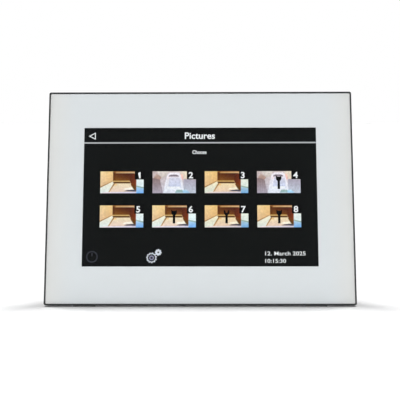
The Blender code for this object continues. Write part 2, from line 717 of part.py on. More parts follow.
def make_clock_battery(finishes, x, z):
    """A coin cell in its round holder, which keeps the clock going when the power is off."""
    inner = BATTERY_RADIUS + FIT
    holder = cylinder(
        "battery_holder", "Y", (x, PARTS_FRONT + HOLDER_HEIGHT / 2, z), inner + HOLDER_WALL, HOLDER_HEIGHT,
        finishes["chip"], 32,
    )
    seat = (PARTS_FRONT + HOLDER_FLOOR, PARTS_FRONT + HOLDER_HEIGHT + CUT)
    combine(holder, cylinder(
        "cut_battery_seat", "Y", (x, sum(seat) / 2, z), inner, seat[1] - seat[0], sides=32,
    ))
    cell_y = seat[0] + LAYER_GAP + BATTERY_THICKNESS / 2
    cylinder(
        "clock_battery", "Y", (x, cell_y, z), BATTERY_RADIUS, BATTERY_THICKNESS, finishes["bright"], 32,
    )


def make_ports(finishes):
    heights = port_places()
    jack_z = heights["power_jack"]
    jack = socket("power_jack", JACK_SIZE, jack_z, finishes["chip"])
    jack_y = PARTS_FRONT + JACK_SIZE[1] / 2
    floor = port_front() - JACK_BORE_DEPTH
    mouth = port_front() + CUT
    bore = cylinder("cut_jack_bore", "X", ((floor + mouth) / 2, jack_y, jack_z), JACK_BORE, mouth - floor)
    root = floor - CUT
    tip = port_front() - JACK_PIN_RECESS
    pin = cylinder(
        "cut_jack_pin", "X", ((root + tip) / 2, jack_y, jack_z), JACK_PIN_RADIUS, tip - root, sides=12,
    )
    combine(bore, pin)
    combine(jack, bore)

    usb = socket("usb_port", USB_SIZE, heights["usb_port"], finishes["steel"], USB_CORNER)
    hollow_port(usb, "usb_port", USB_SIZE, USB_WALL, USB_DEPTH, heights["usb_port"], USB_TONGUE)
    card = socket("card_slot", CARD_SLOT_SIZE, heights["card_slot"], finishes["steel"])
    hollow_port(
        card, "card_slot", CARD_SLOT_SIZE, CARD_SLOT_WALL, CARD_SLOT_DEPTH, heights["card_slot"],
    )


def socket(name, size, height, finish, corner=0.0):
    """The body of a connector on the board, with its mouth towards +X."""
    front = port_front()
    made = block(
        name, (front - size[0], front), (PARTS_FRONT, PARTS_FRONT + size[1]),
        (height - size[2] / 2, height + size[2] / 2), finish,
    )
    if corner:
        soften(made, corner, 2)
    return made


def hollow_port(body, name, size, wall, depth, height, tongue=None):
    """Open a connector's mouth, leaving a tongue of contacts in its middle where it has one."""
    front = port_front()
    hollow = block(
        "cut_mouth_" + name, (front - depth, front + CUT),
        (PARTS_FRONT + wall, PARTS_FRONT + size[1] - wall),
        (height - size[2] / 2 + wall, height + size[2] / 2 - wall),
    )
    if tongue:
        thick, wide = tongue
        middle = PARTS_FRONT + size[1] / 2
        combine(hollow, block(
            "cut_tongue_" + name, (front - depth - CUT, front - TONGUE_RECESS),
            (middle - thick / 2, middle + thick / 2),
            (height - wide / 2, height + wide / 2),
        ))
    combine(body, hollow)


def make_power_button(finishes):
    """The key in the side of the housing and the small switch behind it."""
    height = port_places()["power_button"]
    middle = PARTS_FRONT + BUTTON_WIDTH / 2
    seat = hump_half(HUMP_HALF_WIDTH, middle + BUTTON_WIDTH / 2 + BUTTON_COLLAR, SHELL_WALL) - FIT
    tip = hump_half(HUMP_HALF_WIDTH, middle, 0) + BUTTON_PROUD
    shape = bmesh.new()
    bmesh.ops.create_cube(shape, size=1)
    size = (BUTTON_COLLAR_DEPTH, BUTTON_WIDTH + 2 * BUTTON_COLLAR, BUTTON_HEIGHT + 2 * BUTTON_COLLAR)
    bmesh.ops.scale(shape, vec=size, verts=shape.verts)
    outer = [f for f in shape.faces if f.normal.x > 0.9]
    bmesh.ops.inset_region(shape, faces=outer, thickness=BUTTON_COLLAR)
    grown = bmesh.ops.extrude_face_region(shape, geom=outer)
    cap = [v for v in grown["geom"] if isinstance(v, bmesh.types.BMVert)]
    bmesh.ops.translate(shape, vec=(tip - seat, 0, 0), verts=cap)
    bmesh.ops.delete(shape, geom=outer, context="FACES_ONLY")
    centre = (seat - BUTTON_COLLAR_DEPTH / 2, middle, height)
    button = finish_mesh("power_button", shape, finishes["button"], centre, panel)
    soften(button, EDGE_ROUNDING, 2)

    plunger_tip = seat - BUTTON_COLLAR_DEPTH - BUTTON_TRAVEL - FIT
    body_front = plunger_tip - SWITCH_PLUNGER
    switch = block(
        "power_switch", (body_front - SWITCH_SIZE[0], body_front),
        (PARTS_FRONT, PARTS_FRONT + SWITCH_SIZE[1]),
        (height - SWITCH_SIZE[2] / 2, height + SWITCH_SIZE[2] / 2), finishes["chip"],
    )
    plunger = cylinder(
        "switch_plunger", "X", (body_front, middle, height), PLUNGER_RADIUS, 2 * SWITCH_PLUNGER, sides=16,
    )
    combine(switch, plunger, "UNION")


def make_sound_and_radio(finishes):
    back = INNER_BACK - FIT
    for name, (x, z) in speaker_places().items():
        frame = block(
            name, (x - SPEAKER_SIZE[0] / 2, x + SPEAKER_SIZE[0] / 2), (back - SPEAKER_SIZE[1], back),
            (z - SPEAKER_SIZE[2] / 2, z + SPEAKER_SIZE[2] / 2), finishes["chip"], SPEAKER_CORNER,
        )
        combine(frame, cylinder(
            "cut_cone_" + name, "Y", (x, back, z), CONE_RADIUS, 2 * CONE_DEPTH, sides=32,
        ))
    left = ANTENNA_INSET[0] - HUMP_HALF_WIDTH
    top = FRAME_HEIGHT - HUMP_MARGIN - ANTENNA_INSET[1]
    x = (left, left + ANTENNA_SIZE[0])
    y = (back - ANTENNA_SIZE[1], back)
    block("wifi_antenna", x, y, (top - ANTENNA_SIZE[2], top), finishes["board"])
    make_antenna_cable(finishes, x[1] + FIT, y[0], top - ANTENNA_SIZE[2] / 2)


def make_antenna_cable(finishes, end_x, end_y, end_z):
    """A thin coaxial lead from the radio module to the aerial, along a Bezier curve."""
    radius = CABLE_RADIUS
    start = (
        BOARD_LEFT + WIFI_PLACE[0] - WIFI_SIZE[0] / 2 - FIT - radius, PARTS_FRONT + CABLE_RISE,
        BOARD_TOP - WIFI_PLACE[1],
    )
    end = (end_x + radius, end_y - radius, end_z)
    lead = bpy.data.curves.new("antenna_cable", "CURVE")
    lead.dimensions = "3D"
    lead.bevel_depth = radius
    lead.bevel_resolution = 2
    lead.resolution_u = 10
    lead.use_fill_caps = True
    line = lead.splines.new("BEZIER")
    line.bezier_points.add(1)
    reach = (start[0] - end[0]) / 3
    for point, place, pull in zip(line.bezier_points, (start, end), (-reach, reach)):
        point.co = place
        inward = (place[0] + pull, place[1], place[2])
        outward = (place[0] - pull, place[1], place[2])
        point.handle_left = inward if pull > 0 else outward
        point.handle_right = outward if pull > 0 else inward
    add_object("antenna_cable", lead, finishes["chip"], (0, 0, 0), panel)


def hinge_block_places():
    centre = BLOCK_INNER + BLOCK_SIZE[0] / 2
    return {"hinge_block_left": -centre, "hinge_block_right": centre}


def make_hinge(finishes):
    for name, x in hinge_block_places().items():
        side = -1 if x < 0 else 1
        word = "left" if x < 0 else "right"
        base = REAR_DEPTH + FIT
        bracket = block(
            name, (x - BLOCK_SIZE[0] / 2, x + BLOCK_SIZE[0] / 2), (base, base + BLOCK_SIZE[1]),
            (HINGE_HEIGHT + BLOCK_RISE - BLOCK_SIZE[2], HINGE_HEIGHT + BLOCK_RISE), finishes["dark"],
        )
        soften(bracket, BLOCK_EDGE, 2)
        bore_length = PIN_OUTER - BLOCK_INNER + FIT + CUT
        bore_x = side * (BLOCK_INNER - CUT + bore_length / 2)
        combine(bracket, cylinder(
            "cut_bore_" + word, "X", (bore_x, HINGE_DEPTH, HINGE_HEIGHT), PIN_RADIUS + FIT,
            bore_length,
        ))
        screw_z = HINGE_HEIGHT - BLOCK_SCREW_DROP
        drill = (base - CUT, base + BLOCK_DRILL)
        combine(bracket, cylinder(
            "cut_block_drill_" + word, "Y", (x, sum(drill) / 2, screw_z), SCREW_SHANK_RADIUS + FIT,
            drill[1] - drill[0], sides=12,
        ))
        screw(
            "hinge_screw_" + word, (x, INNER_BACK - FIT, screw_z), drill[1] - INNER_BACK - FIT,
            finishes["screw"], towards_front=False,
        )
        pin_x = side * (PIN_OUTER - PIN_LENGTH / 2)
        cylinder(
            "hinge_pin_" + word, "X", (pin_x, HINGE_DEPTH, HINGE_HEIGHT), PIN_RADIUS, PIN_LENGTH,
            finishes["screw"],
        )
        washer_x = side * (LEG_TOP_WIDTH / 2 + FIT + WASHER_THICKNESS / 2)
        centre = (washer_x, HINGE_DEPTH, HINGE_HEIGHT)
        washer = cylinder(
            "friction_washer_" + word, "X", centre, WASHER_RADIUS, WASHER_THICKNESS, finishes["bright"],
        )
        combine(washer, cylinder(
            "cut_washer_" + word, "X", centre, PIN_RADIUS + FIT, 3 * WASHER_THICKNESS,
        ))


def make_leg(finishes):
    """The leg hangs from its hinge axis, in axes that turn with it, and is shown opened."""
    foot_top = LEG_FOOT_HEIGHT - LEG_REACH
    length = LEG_HEEL - foot_top
    taper = (LEG_BOTTOM_WIDTH - LEG_TOP_WIDTH) / (-WASHER_RADIUS - foot_top)
    heel_width = LEG_TOP_WIDTH - taper * (LEG_HEEL + WASHER_RADIUS)
    shape = bmesh.new()
    bmesh.ops.create_cube(shape, size=1)
    for vert in shape.verts:
        width = heel_width if vert.co.z > 0 else LEG_BOTTOM_WIDTH
        middle = (LEG_HEEL + foot_top) / 2
        vert.co = (vert.co.x * width, vert.co.y * LEG_THICKNESS, vert.co.z * length + middle)
    leg = finish_mesh("stand_leg", shape, finishes["dark"], (0, 0, 0), hinge)
    soften(leg, LEG_EDGE, 2)
    barrel = cylinder("leg_barrel", "X", (0, 0, 0), BARREL_RADIUS, LEG_TOP_WIDTH, sides=32, parent=hinge)
    combine(leg, barrel, "UNION")
    half_panel = LEG_TOP_WIDTH / 2 - LEG_PANEL_INSET
    combine(leg, block(
        "cut_leg_panel", (-half_panel, half_panel), (LEG_THICKNESS / 2 - LEG_PANEL_DEPTH, LEG_THICKNESS),
        (foot_top + LEG_PANEL_BOTTOM, -BARREL_RADIUS - LEG_PANEL_TOP),
        corner=LEG_PANEL_CORNER, parent=hinge,
    ))
    pin_inner = PIN_OUTER - PIN_LENGTH
    for side in (-1, 1):
        bore_length = LEG_TOP_WIDTH / 2 - pin_inner + FIT + CUT
        centre = (side * (pin_inner - FIT + bore_length / 2), 0, 0)
        combine(leg, cylinder(
            f"cut_leg_bore_{side}", "X", centre, PIN_RADIUS + FIT, bore_length, parent=hinge,
        ))
    half = LEG_THICKNESS / 2 + LEG_FOOT_LAP
    slope = math.tan(LEG_LEAN)
    side_outline("leg_foot", [
        (-half, foot_top - FIT),
        (half, foot_top - FIT),
        (half, -LEG_REACH - half * slope),
        (-half, -LEG_REACH + half * slope),
    ], LEG_BOTTOM_WIDTH, finishes["rubber"], hinge)


def make_feet(finishes):
    """Wedges of rubber under the bottom edge, flat on the table."""
    back = FOOT_FRONT + FOOT_DEPTH

    def table(y):
        return (y * math.sin(LEAN) - LIFT) / math.cos(LEAN)

    outline = [
        (FOOT_FRONT, -LAYER_GAP),
        (back, -LAYER_GAP),
        (back, table(back)),
        (FOOT_FRONT, table(FOOT_FRONT)),
    ]
    for name, side in (("left_foot", -1), ("right_foot", 1)):
        foot = side_outline(name, outline, FOOT_LENGTH, finishes["rubber"], panel)
        foot.location.x = side * FOOT_SPACING / 2


clear_scene()
parts = collection("digital_photo_frame")
cutters = collection("cutters")
panel = empty("panel_lean", None, (0, -OBJECT_DEPTH / 2, LIFT), -LEAN)
hinge = empty("leg_hinge", panel, (0, HINGE_DEPTH, HINGE_HEIGHT), LEG_OPENING)

FINISHES = {
    "glass": material("cover_glass", (0.80, 0.82, 0.84), 0.05),
    "white": material("white_print", (0.72, 0.74, 0.76), 0.35),
    "dark": material("anthracite_plastic", (0.025, 0.027, 0.030), 0.45),
    "rubber": material("grey_rubber", (0.10, 0.10, 0.11), 0.80),
    "foam": material("black_foam", (0.02, 0.02, 0.02), 0.90),
    "film": material("clear_film", (0.75, 0.78, 0.80), 0.30),
    "clear": material("clear_acrylic", (0.85, 0.88, 0.90), 0.08),
    "dark_glass": material("display_glass", (0.008, 0.010, 0.010), 0.10),
    "steel": material("tin_plated_steel", (0.55, 0.56, 0.57), 0.35, 1.0),
    "bright": material("nickel_steel", (0.65, 0.64, 0.62), 0.22, 1.0),
    "screw": material("black_zinc_steel", (0.12, 0.12, 0.13), 0.35, 1.0),
    "board": material("green_circuit_board", (0.02, 0.13, 0.06), 0.40),
    "chip": material("black_moulding", (0.018, 0.018, 0.020), 0.50),
    "button": material("grey_button", (0.30, 0.31, 0.33), 0.45),
}

make_glass(FINISHES)
make_display(FINISHES)
make_flex("touch_flex", (SENSOR_FRONT + SENSOR_BACK) / 2, FINISHES["button"])
make_flex("lcd_flex", CELL_FRONT + CELL_THICKNESS / 2, FINISHES["button"])
make_casing(FINISHES)
make_rear_cover(FINISHES)
make_board(FINISHES)
make_ports(FINISHES)
make_power_button(FINISHES)
make_sound_and_radio(FINISHES)
make_hinge(FINISHES)
make_leg(FINISHES)
make_feet(FINISHES)
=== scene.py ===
"""The looks of a digital photo frame: a white glass touch panel on a fold-out leg."""

import math

import bmesh
import bpy
import numpy as np
from mathutils import Matrix, Vector


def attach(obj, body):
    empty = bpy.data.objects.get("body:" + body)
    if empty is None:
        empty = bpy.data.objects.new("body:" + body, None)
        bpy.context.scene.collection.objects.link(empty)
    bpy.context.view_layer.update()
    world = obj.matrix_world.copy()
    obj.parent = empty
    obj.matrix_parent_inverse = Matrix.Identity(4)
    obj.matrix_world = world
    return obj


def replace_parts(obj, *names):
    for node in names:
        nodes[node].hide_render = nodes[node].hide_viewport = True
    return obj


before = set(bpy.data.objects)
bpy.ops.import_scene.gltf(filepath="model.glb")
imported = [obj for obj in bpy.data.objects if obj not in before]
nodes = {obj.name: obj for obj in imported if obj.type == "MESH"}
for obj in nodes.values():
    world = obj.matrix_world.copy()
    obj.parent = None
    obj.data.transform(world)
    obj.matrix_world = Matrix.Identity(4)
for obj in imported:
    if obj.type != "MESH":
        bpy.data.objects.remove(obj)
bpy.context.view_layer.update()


# The panel leans back on its leg, so everything on its face is laid out square to the glass,
# with X to the right, depth into the panel and height up it, and is then leaned back with it.
LEAN = math.radians(15)
panel = Matrix.Rotation(-LEAN, 4, "X")
upright = panel.inverted()


def panel_box(node):
    """A node's lowest and highest corners in the panel's own axes."""
    corners = [upright @ vertex.co for vertex in nodes[node].data.vertices]
    low = Vector([min(corner[axis] for corner in corners) for axis in range(3)])
    high = Vector([max(corner[axis] for corner in corners) for axis in range(3)])
    return low, high


# Cover glass: one sheet of clear, polished, strengthened glass that fills the rim from edge to
# edge. Its front is coated, so it mirrors little head on and more at a slant.
COATED_REFLECTION = 0.012
SLANT_REFLECTION = 0.75


class Signal:
    """A value that varies over a surface, in a material's nodes. Arithmetic adds Math nodes."""

    def __init__(self, tree, socket=None):
        self.tree = tree
        self.socket = socket

    def node(self, kind, settings=None, inputs=None, output=0):
        """Any other node: its settings are set first, then its sockets' values or links."""
        made = self.tree.nodes.new("ShaderNode" + kind)
        for name, value in (settings or {}).items():
            setattr(made, name, value)
        for name, value in (inputs or {}).items():
            if isinstance(value, Signal):
                self.tree.links.new(value.socket, made.inputs[name])
            else:
                made.inputs[name].default_value = value
        return Signal(self.tree, made.outputs[output]) if made.outputs else None

    def maths(self, operation, first, second=0.0):
        return self.node("Math", {"operation": operation}, {0: first, 1: second})

    def __add__(self, other):
        return self.maths("ADD", self, other)

    def __sub__(self, other):
        return self.maths("SUBTRACT", self, other)

    def __rsub__(self, other):
        return self.maths("SUBTRACT", other, self)

    def __mul__(self, other):
        return self.maths("MULTIPLY", self, other)

    def __pow__(self, other):
        return self.maths("POWER", self, other)

    __radd__ = __add__
    __rmul__ = __mul__

    def clamped(self, low, high):
        """From 0 to 1 as the value goes from low to high."""
        settings = {"clamp": True, "interpolation_type": "SMOOTHSTEP"}
        return self.node("MapRange", settings, {"Value": self, "From Min": low, "From Max": high})

    def tint(self, first, second):
        """A colour that goes from the first to the second as the value goes from 0 to 1."""
        inputs = {0: self, 6: (*first, 1), 7: (*second, 1)}
        return self.node("Mix", {"data_type": "RGBA"}, inputs, 2)


def new_material(name):
    """An empty material, and a signal to start its nodes from."""
    made = bpy.data.materials.new(name)
    made.use_nodes = True
    made.node_tree.nodes.clear()
    return made, Signal(made.node_tree)


def dress(node, material):
    """Give a piece of the frame its material."""
    nodes[node].data.materials.clear()
    nodes[node].data.materials.append(material)


glass, start = new_material("coated_glass")
slant = start.node("LayerWeight", None, {"Blend": 0.5}, "Facing")
mirrored = slant ** 5 * SLANT_REFLECTION + COATED_REFLECTION
seen_through = start.node("BsdfTransparent", None, {"Color": (0.985, 0.992, 0.990, 1)})
shine = start.node("BsdfAnisotropic", None, {"Color": (1, 1, 1, 1), "Roughness": 0.06})
surface = start.node("MixShader", None, {0: mirrored, 1: seen_through, 2: shine})
start.node("OutputMaterial", None, {"Surface": surface})
dress("cover_glass", glass)


# White border: two coats of ink printed on the back of the glass, with a sharp window for the
# display. It is a cool grey white, a little warmer towards the two sides.
def principled(start, constants, varying):
    """A Principled shader, with its constants on its own sockets and its varying inputs linked."""
    surface = start.node("BsdfPrincipled", None, {**constants, **varying})
    start.node("OutputMaterial", None, {"Surface": surface})


def place(start):
    """Where a point of the surface is, in metres, along X, Y and Z."""
    return start.node("TexCoord", None, None, "Object")


def noise(start, pitch, detail=2.0, output="Fac"):
    """Soft irregular patches of about the given size in metres."""
    settings = {"noise_dimensions": "3D"}
    inputs = {"Vector": place(start), "Scale": 1 / pitch, "Detail": detail}
    return start.node("TexNoise", settings, inputs, output)


ink, start = new_material("white_ink")
across = start.node("SeparateXYZ", None, {"Vector": place(start)}, "X")
outwards = start.maths("ABSOLUTE", across).clamped(0.080, 0.100)
white = outwards.tint((0.705, 0.722, 0.742), (0.728, 0.719, 0.712))
patches = noise(start, 0.030).tint((0.985, 0.985, 0.985), (1.0, 1.0, 1.0))
multiply = {"data_type": "RGBA", "blend_type": "MULTIPLY"}
white = start.node("Mix", multiply, {0: 1.0, 6: white, 7: patches}, 2)
principled(start, {"Roughness": 0.6, "Specular IOR Level": 0.0}, {"Base Color": white})
dress("border_print", ink)


# Display: a 7-inch liquid crystal panel of 800 by 480 dots. Its picture is a sheet of light just
# behind the glass, dark between the words and pictures, with a little backlight glow at its rim.
ACTIVE_WIDTH = 0.1524
ACTIVE_HEIGHT = 0.09144
HIDDEN_EDGE = 0.0008
SCREEN_GAP = 0.00015
LAYER_STEP = 0.00002
tray_low, tray_high = panel_box("display_tray")
print_low, print_high = panel_box("border_print")
screen_height = (tray_low.z + tray_high.z) / 2
screen_depth = print_high.y + SCREEN_GAP


def add_piece(name, shape, material, body="root"):
    """Make an object of a bmesh, and have it ride on a body of the frame."""
    mesh = bpy.data.meshes.new(name)
    shape.to_mesh(mesh)
    shape.free()
    mesh.materials.append(material)
    made = bpy.data.objects.new(name, mesh)
    bpy.context.scene.collection.objects.link(made)
    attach(made, body)
    return made


def on_screen(shape, layer):
    """Stand a flat shape, drawn in X and Y about the screen's middle, up on one of its layers.

    The layers are counted towards the viewer from the dark field, which is 0.
    """
    stand = Matrix.Rotation(math.radians(90), 4, "X")
    move = Matrix.Translation((0, screen_depth - layer * LAYER_STEP, screen_height))
    bmesh.ops.transform(shape, matrix=panel @ move @ stand, verts=shape.verts)


def flat_box(shape, left, right, low, high):
    """Add a rectangle to a flat shape, facing the viewer."""
    made = bmesh.ops.create_grid(shape, x_segments=1, y_segments=1, size=0.5)["verts"]
    bmesh.ops.scale(shape, vec=(right - left, high - low, 1), verts=made)
    bmesh.ops.translate(shape, vec=((left + right) / 2, (low + high) / 2, 0), verts=made)


def self_lit(start, base, roughness, light):
    """A surface that gives off light of its own and mirrors nothing."""
    constants = {
        "Base Color": (*base, 1),
        "Roughness": roughness,
        "Specular IOR Level": 0.0,
        "Emission Strength": 1.0,
    }
    principled(start, constants, {"Emission Color": light})


dark, start = new_material("dark_screen")
spot = start.node("SeparateXYZ", None, {"Vector": place(start)}, "X")
to_side = start.maths("ABSOLUTE", spot).clamped(0.058, 0.078)
glow = to_side * 0.35 + noise(start, 0.040) * 0.3
lit = glow.tint((0.0008, 0.0016, 0.0024), (0.0030, 0.0042, 0.0058))
self_lit(start, (0.0035, 0.0035, 0.0025), 0.3, lit)
sheet = bmesh.new()
half_width = ACTIVE_WIDTH / 2 + HIDDEN_EDGE
half_height = ACTIVE_HEIGHT / 2 + HIDDEN_EDGE
flat_box(sheet, -half_width, half_width, -half_height, half_height)
on_screen(sheet, 0)
add_piece("screen_field", sheet, dark)


# Screen words: a title over a full-width line, a small heading, and the date and the time, in
# plain white letters. They light up with the display. Each has its left end, its low edge, the
# height of its capitals, its weight and its stretch. Capitals are a fixed share of a letter's size.
SCREEN_WORDS = {
    "screen_title": ("Pictures", -0.0100, 0.0382, 0.0044, 0.020, 1.02),
    "screen_heading": ("Choose", -0.0050, 0.0281, 0.0025, 0.024, 0.86),
    "screen_date": ("12. March 2025", 0.0420, -0.0386, 0.0025, 0.010, 1.20),
    "screen_time": ("10:15:30", 0.0420, -0.0434, 0.0025, 0.010, 1.16),
}
LETTER_CAPITAL = 0.682
LINE_LOW = 0.0352
LINE_HIGH = 0.0361


def lit_colour(name, colour):
    """A part of the picture that is one colour, with the fine unevenness of the backlight."""
    made, start = new_material(name)
    dim = [0.94 * part for part in colour]
    shade = noise(start, 0.012).tint(dim, colour)
    self_lit(start, (0.01, 0.01, 0.01), 0.4, shade)
    return made


def write(name, words, left, low, cap_height, weight, material, stretch):
    """Set a line of letters from its left end, with capitals of the given height."""
    letters = bpy.data.curves.new(name, "FONT")
    letters.body = words
    letters.size = 1.0
    letters.offset = weight
    letters.resolution_u = 3
    holder = bpy.data.objects.new(name, letters)
    bpy.context.scene.collection.objects.link(holder)
    bpy.context.view_layer.update()
    drawn = holder.evaluated_get(bpy.context.evaluated_depsgraph_get())
    mesh = bpy.data.meshes.new_from_object(drawn)
    bpy.data.objects.remove(holder)
    shape = bmesh.new()
    shape.from_mesh(mesh)
    begin = min(vert.co.x for vert in shape.verts)
    scale = cap_height / (LETTER_CAPITAL + 2 * weight)
    bmesh.ops.translate(shape, vec=(-begin, weight, 0), verts=shape.verts)
    bmesh.ops.scale(shape, vec=(scale * stretch, scale, 1), verts=shape.verts)
    bmesh.ops.translate(shape, vec=(left, low, 0), verts=shape.verts)
    on_screen(shape, 4)
    return add_piece(name, shape, material)


white_light = lit_colour("white_letters", (0.90, 0.92, 0.94))
for name, (words, left, low, cap_height, weight, stretch) in SCREEN_WORDS.items():
    write(name, words, left, low, cap_height, weight, white_light, stretch)

line_light = lit_colour("line_light", (0.50, 0.52, 0.54))
line = bmesh.new()
flat_box(line, -ACTIVE_WIDTH / 2, ACTIVE_WIDTH / 2, LINE_LOW, LINE_HIGH)
on_screen(line, 1)
add_piece("screen_line", line, line_light)


# Small pictures: eight plain views of rooms in two rows of four, each with its number in a black
# corner. Six show a wooden room with a bench, and two a pale room with an arch.
PICTURE_COUNT = 8
COLUMNS = 4
ARCH_PICTURES = (2, 4)
ARCH_UNEVENNESS = 0.07
WOOD_UNEVENNESS = 0.05
PICTURE_WIDTH = 0.0283
PICTURE_HEIGHT = 0.01445
FIRST_LEFT = -0.0651
COLUMN_PITCH = 0.0341
ROW_LOWS = (0.0021, -0.0204)
CORNER_WIDTH = 0.0059
CORNER_HEIGHT = 0.0054
CORNER_LAP = 0.0002
DIGIT_HEIGHT = 0.0042
DIGIT_DROP = 0.0047
DIGIT_INSET = 0.0047
DIGIT_WEIGHT = 0.024
DIGIT_STRETCH = 1.05
ONE_INSET = 0.0040
DOTS_ACROSS = 112
DOTS_UP = 58
COARSE_PATCHES = (34, 18)
FINE_PATCHES = (90, 46)
SHADE_TO_LIGHT = 2.2


def area(outline, low_colour, high_colour, boards=(0, 0, 0), right_colour=None):
    """One flat area of a picture: its outline, its colours from low to high, and its boards."""
    three = (low_colour, high_colour, right_colour or low_colour)
    colours = [np.array(colour) / 255 for colour in three]
    return outline, colours, boards, right_colour is not None


WOOD_ROOM = [
    area([(0, 0), (1, 0), (1, 1), (0, 1)], (225, 185, 145), (205, 170, 125)),
    area([(0, 0.27), (0.29, 0.56), (0.29, 1), (0, 1)],
         (232, 196, 158), (253, 226, 172), (5, 0, 0.06), (226, 178, 128)),
    area([(0.29, 0.93), (0.79, 0.93), (0.79, 1), (0.29, 1)], (120, 72, 30), (150, 98, 52)),
    area([(0.36, 0.90), (0.79, 0.90), (0.79, 0.98), (0.36, 0.98)],
         (205, 160, 108), (188, 142, 92), (0, 0, 0), (232, 200, 160)),
    area([(0.29, 0.56), (0.74, 0.56), (0.78, 0.91), (0.29, 0.91)],
         (142, 92, 34), (96, 50, 10), (0, 11, 0.16), (112, 62, 22)),
    area([(0.29, 0.56), (0.35, 0.58), (0.35, 0.92), (0.29, 0.96)], (112, 66, 22), (84, 42, 10)),
    area([(0.29, 0.51), (0.67, 0.51), (0.67, 0.58), (0.29, 0.58)], (222, 188, 128), (190, 150, 84)),
    area([(0.30, 0.44), (0.70, 0.44), (0.68, 0.515), (0.29, 0.515)], (118, 76, 36), (58, 34, 12)),
    area([(0.18, 0.05), (0.80, 0.05), (0.74, 0.30), (0.70, 0.45), (0.32, 0.45)],
         (238, 212, 200), (246, 230, 196), (0, 6, 0.05)),
    area([(0.31, 0.34), (0.38, 0.34), (0.38, 0.43), (0.31, 0.43)], (252, 226, 176), (236, 190, 130)),
    area([(0, 0), (0.17, 0), (0.31, 0.45), (0.28, 0.55), (0, 0.27)],
         (226, 240, 244), (252, 246, 224), (9, 0, 0.05)),
    area([(0, 0.25), (0.28, 0.53), (0.28, 0.575), (0, 0.30)], (150, 108, 66), (196, 158, 108)),
    area([(0.17, 0), (0.20, 0), (0.335, 0.43), (0.31, 0.46)], (214, 172, 128), (150, 112, 70)),
    area([(0.52, 0.16), (0.78, 0.17), (0.76, 0.29), (0.58, 0.23)], (255, 254, 248), (252, 244, 226)),
    area([(0.55, 0.085), (0.82, 0.07), (0.84, 0.17), (0.62, 0.14)], (96, 100, 132), (58, 54, 62)),
    area([(0.69, 0.52), (0.76, 0.20), (0.84, 0.10), (0.84, 0.90), (0.69, 0.90)],
         (112, 52, 12), (82, 34, 8), (7, 0, 0.22), (150, 66, 22)),
    area([(0.70, 0.40), (0.76, 0.20), (0.82, 0.12), (0.82, 0.30), (0.74, 0.48)],
         (84, 62, 10), (118, 56, 12)),
    area([(0, 0), (0.84, 0), (0.84, 0.06), (0.13, 0.06)],
         (236, 222, 232), (246, 238, 246), (0, 0, 0), (206, 204, 236)),
    area([(0.83, 0), (1, 0), (1, 1), (0.83, 1)], (214, 240, 255), (250, 254, 252)),
    area([(0.83, 0), (1, 0), (1, 0.25), (0.83, 0.33)], (120, 182, 255), (190, 224, 252), (5, 3, 0.10)),
    area([(0.83, 0.30), (1, 0.22), (1, 0.275), (0.83, 0.35)], (128, 160, 158), (170, 196, 190)),
]
ARCH_ROOM = [
    area([(0, 0), (1, 0), (1, 1), (0, 1)],
         (196, 192, 208), (204, 186, 184), (7, 0, 0.04), (222, 220, 236)),
    area([(0, 0), (0.24, 0), (0.17, 0.64), (0, 0.70)], (176, 168, 184), (140, 118, 118), (4, 0, 0.10)),
    area([(0.02, 0.70), (0.17, 0.62), (0.22, 0.72), (0.09, 0.90)], (168, 134, 124), (198, 174, 162)),
    area([(0.21, 0.70), (0.33, 0.78), (0.36, 1), (0.10, 1)], (202, 190, 184), (226, 216, 210)),
    area([(0.66, 0.66), (0.79, 0.64), (0.79, 1), (0.62, 1)],
         (216, 196, 188), (230, 214, 204), (0, 0, 0), (232, 214, 190)),
    area([(0.65, 0.60), (0.71, 0.62), (0.70, 0.86), (0.64, 0.88)], (240, 178, 176), (248, 206, 186)),
    area([(0.70, 0), (1, 0), (1, 0.60), (0.72, 0.64)], (200, 210, 226), (176, 168, 186), (11, 8, 0.10)),
    area([(0.24, 0), (0.76, 0), (0.70, 0.45), (0.67, 0.84),
          (0.60, 0.95), (0.40, 0.95), (0.33, 0.84), (0.29, 0.45)],
         (226, 232, 246), (246, 238, 246)),
    area([(0.36, 0.20), (0.66, 0.20), (0.64, 0.70), (0.39, 0.72)],
         (206, 216, 244), (216, 214, 232), (5, 6, 0.04)),
    area([(0.34, 0.66), (0.39, 0.66), (0.40, 0.80), (0.35, 0.78)], (244, 224, 232), (250, 242, 246)),
    area([(0.37, 0.75), (0.61, 0.75), (0.60, 0.81), (0.54, 0.85), (0.44, 0.85), (0.38, 0.81)],
         (176, 162, 176), (92, 82, 92)),
    area([(0.42, 0.72), (0.56, 0.72), (0.54, 0.79), (0.44, 0.79)], (238, 228, 236), (150, 138, 150)),
    area([(0.30, 0.12), (0.66, 0.12), (0.64, 0.30), (0.33, 0.30)], (232, 238, 252), (244, 246, 252)),
    area([(0.52, 0.02), (0.74, 0.02), (0.68, 0.16), (0.56, 0.16)], (150, 186, 196), (160, 186, 178)),
    area([(0.70, 0.02), (0.86, 0.02), (0.78, 0.16), (0.69, 0.14)], (150, 206, 244), (196, 226, 246)),
]
WOOD_TINTS = ((1, 0.98, 0.94), (1, 0.99, 0.97), (1.0, 1.0, 0.98), (1.0, 0.97, 0.90))


def inside(outline, u, v):
    """Which points lie inside a convex outline that is drawn anticlockwise."""
    result = np.ones(u.shape, bool)
    for (u0, v0), (u1, v1) in zip(outline, outline[1:] + outline[:1]):
        result &= (u1 - u0) * (v - v0) - (v1 - v0) * (u - u0) >= 0
    return result


def between(value, low, high):
    """How far each value is from low to high, from 0 to 1, as one column."""
    return np.clip((value - low) / (high - low), 0, 1)[:, None]


